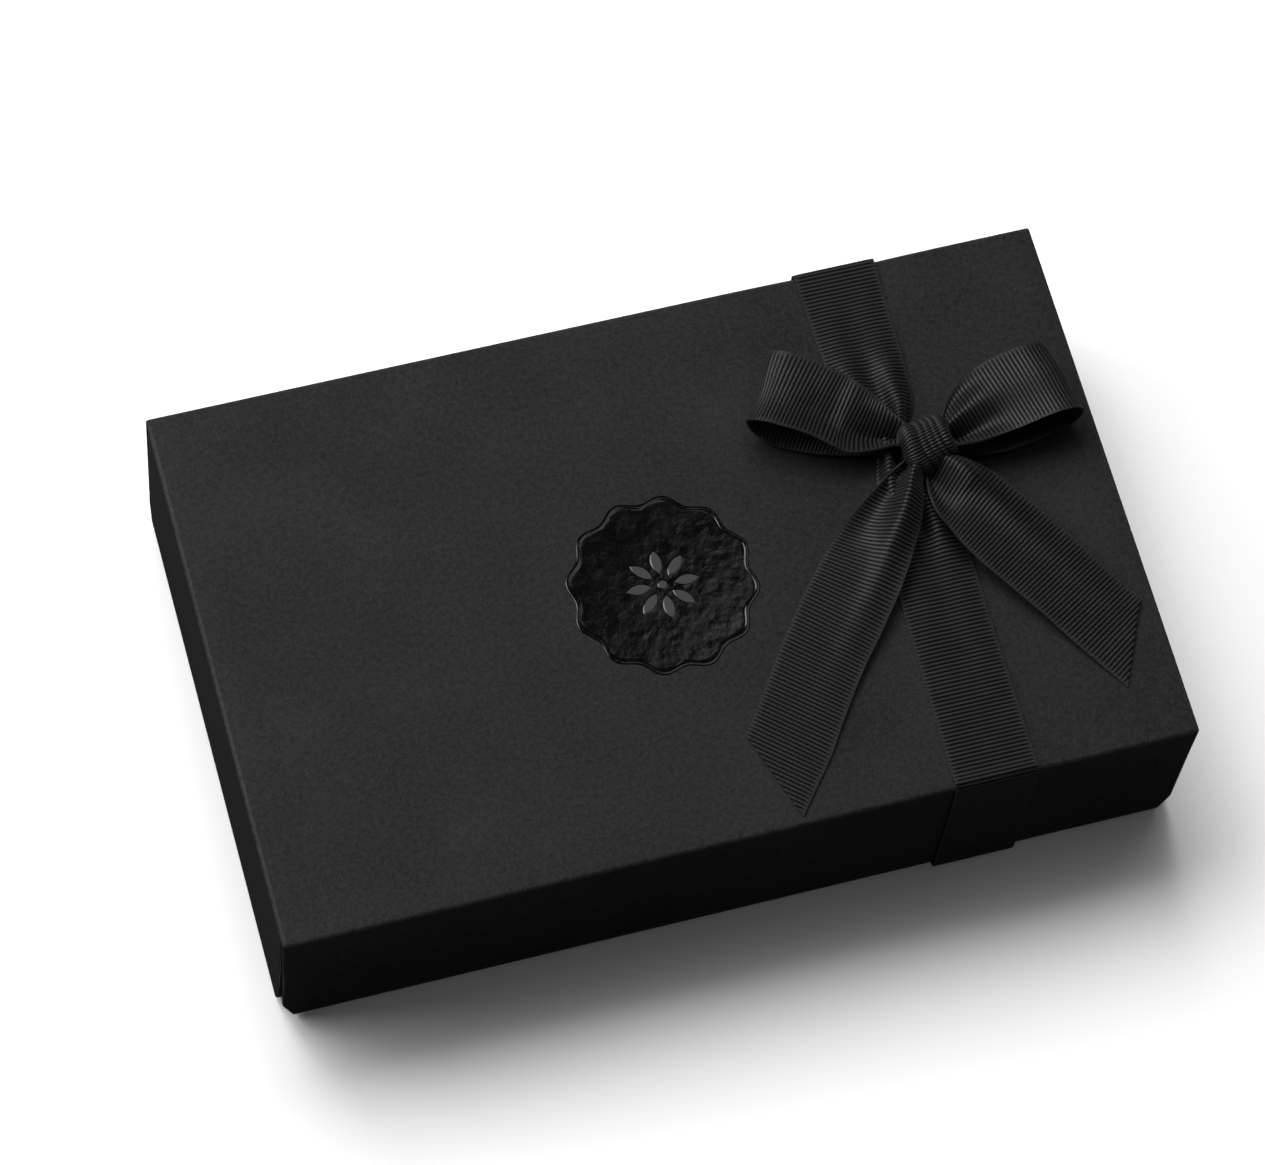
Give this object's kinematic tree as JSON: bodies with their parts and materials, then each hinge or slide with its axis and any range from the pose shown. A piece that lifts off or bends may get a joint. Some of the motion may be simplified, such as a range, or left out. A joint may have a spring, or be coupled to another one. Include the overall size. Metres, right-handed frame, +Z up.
{
  "type": "gift box",
  "caption": "Rigid rectangular gift box with a full-depth lift-off lid, covered in matte black paper, with a scalloped foil seal and a ribbed ribbon tied in a bow.",
  "frame": {"origin": "centre of the underside of the closed box, on the surface it stands on", "axes": "+X along the box's length, +Y to its back long side, +Z up through the lid"},
  "size_m": [0.2816, 0.1776, 0.081],
  "materials": {
    "greyboard": "plain pressed board",
    "black_paper": "matte with a fine grain",
    "lining_paper": "matte",
    "kraft_tape": "matte",
    "black_card": "matte",
    "black_foil": "gloss foil, embossed",
    "ribbon": "ribbed weave with a slight sheen"
  },
  "bodies": {
    "tray": {"tray_bottom_board": "greyboard", "tray_front_board": "greyboard", "tray_back_board": "greyboard", "tray_left_board": "greyboard", "tray_right_board": "greyboard", "tray_corner_tapes": "kraft_tape", "tray_wrap": "black_paper", "tray_base_sheet": "black_paper", "tray_lining": "lining_paper"},
    "lid": {"lid_top_board": "greyboard", "lid_front_board": "greyboard", "lid_right_board": "greyboard", "lid_back_board": "greyboard", "lid_left_board": "greyboard", "lid_corner_webs": "black_card", "lid_wrap": "black_paper", "lid_lining": "lining_paper", "seal": "black_foil", "ribbon_band": "ribbon", "bow_knot": "ribbon", "bow_left_loop": "ribbon", "bow_right_loop": "ribbon", "bow_left_tail": "ribbon", "bow_right_tail": "ribbon"}
  },
  "joints": [
    {"name": "lid_lift", "type": "slide", "parent": "tray", "child": "lid", "axis": [0, 0, 1], "range_m": [0, 0.08]}
  ]
}
